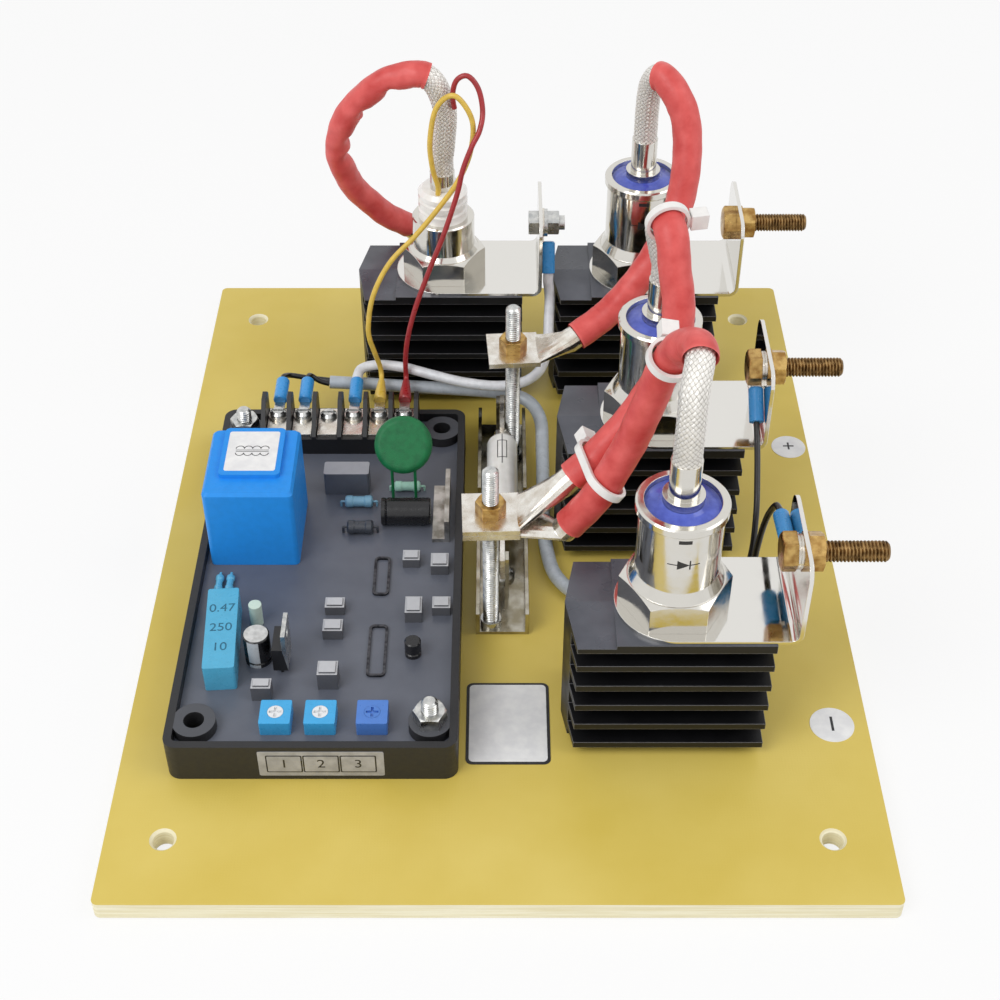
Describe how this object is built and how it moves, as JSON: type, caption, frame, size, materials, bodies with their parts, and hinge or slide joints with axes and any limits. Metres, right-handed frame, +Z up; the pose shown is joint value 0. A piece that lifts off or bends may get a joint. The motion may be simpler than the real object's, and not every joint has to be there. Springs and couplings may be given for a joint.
{
  "type": "automatic voltage regulator",
  "caption": "Generator voltage regulator: a potted control module beside stud rectifiers and a thyristor on finned heatsinks, wired together on one insulating board.",
  "frame": {"origin": "centre of the base board's underside", "axes": "+X right with the terminal bolts, +Y to the rear along the board's length, +Z up out of the board"},
  "size_m": [0.22, 0.29, 0.1352],
  "materials": {
    "laminate": "satin",
    "zinc_steel": "zinc plated",
    "brass": "machined",
    "black_case": "moulded",
    "circuit_laminate": "satin",
    "potting": "cast",
    "transformer_case": "moulded",
    "tinned": "tin plated",
    "varistor_coat": "dipped",
    "film_blue": "moulded",
    "film_grey": "moulded",
    "can_sleeve": "shrunk sleeve",
    "spreader": "satin",
    "resistor_coat": "dipped",
    "trimmer_blue": "moulded",
    "adjuster_white": "moulded",
    "adjuster_blue": "moulded",
    "black_anodised": "black, gloss",
    "nickel": "nickel plated, polished",
    "seal_blue": "glass seal",
    "ceramic": "glazed",
    "braid": "tinned copper braid",
    "sleeve_red": "wrinkled sleeve",
    "nylon": "moulded",
    "blue_insulation": "moulded",
    "lead_yellow": "extruded",
    "lead_red": "extruded",
    "lead_white": "extruded",
    "lead_grey": "extruded",
    "lead_black": "extruded"
  },
  "bodies": {
    "regulator": {"base_board": "laminate", "board_screws": "zinc_steel", "threaded_studs": "zinc_steel", "steel_nuts": "zinc_steel", "brass_nuts": "brass", "module_tray": "black_case", "module_circuit_board": "circuit_laminate", "potting_resin": "potting", "transformer": "transformer_case", "terminal_block": "black_case", "terminal_plates": "tinned", "terminal_screws": "zinc_steel", "varistor": "varistor_coat", "film_capacitor_blue": "film_blue", "film_capacitor_grey": "film_grey", "electrolytic_capacitors": "can_sleeve", "power_transistor": "black_case", "heat_spreader": "spreader", "resistors": "resistor_coat", "chip_blocks": "film_grey", "jumper_wires": "tinned", "trimmer_bodies": "trimmer_blue", "heatsink_front": "black_anodised", "heatsink_middle": "black_anodised", "heatsink_rear": "black_anodised", "heatsink_thyristor": "black_anodised", "busbar_front": "nickel", "busbar_middle": "nickel", "busbar_rear": "nickel", "busbar_thyristor": "nickel", "diode_front": "nickel", "diode_middle": "nickel", "diode_rear": "nickel", "diode_seals": "seal_blue", "thyristor_base": "nickel", "thyristor_insulator": "ceramic", "terminal_tubes": "nickel", "braids": "braid", "sleeve_front": "sleeve_red", "sleeve_middle": "sleeve_red", "sleeve_rear": "sleeve_red", "sleeve_thyristor": "sleeve_red", "cable_lugs": "tinned", "cable_ties": "nylon", "terminal_bolts": "brass", "flange_screw": "zinc_steel", "ring_terminals": "tinned", "ring_terminal_sleeves": "blue_insulation", "fuse_brackets": "zinc_steel", "fuse_link": "ceramic", "fuse_tags": "tinned", "gate_lead_yellow": "lead_yellow", "gate_lead_red": "lead_red", "white_lead": "lead_white", "harness_sleeve": "lead_grey", "black_leads": "lead_black"},
    "adjuster_1": {"trimmer_adjuster_1": "adjuster_white"},
    "adjuster_2": {"trimmer_adjuster_2": "adjuster_white"},
    "adjuster_3": {"trimmer_adjuster_3": "adjuster_blue"}
  },
  "joints": [
    {"name": "trimmer_1_turn", "type": "hinge", "parent": "regulator", "child": "adjuster_1", "pos_m": [-0.0641, -0.0902, 0.0206], "axis": [0, 0, 1], "range_deg": [-135, 135]},
    {"name": "trimmer_2_turn", "type": "hinge", "parent": "regulator", "child": "adjuster_2", "pos_m": [-0.0512, -0.0902, 0.0206], "axis": [0, 0, 1], "range_deg": [-135, 135]},
    {"name": "trimmer_3_turn", "type": "hinge", "parent": "regulator", "child": "adjuster_3", "pos_m": [-0.0362, -0.0902, 0.0206], "axis": [0, 0, 1], "range_deg": [-135, 135]}
  ]
}
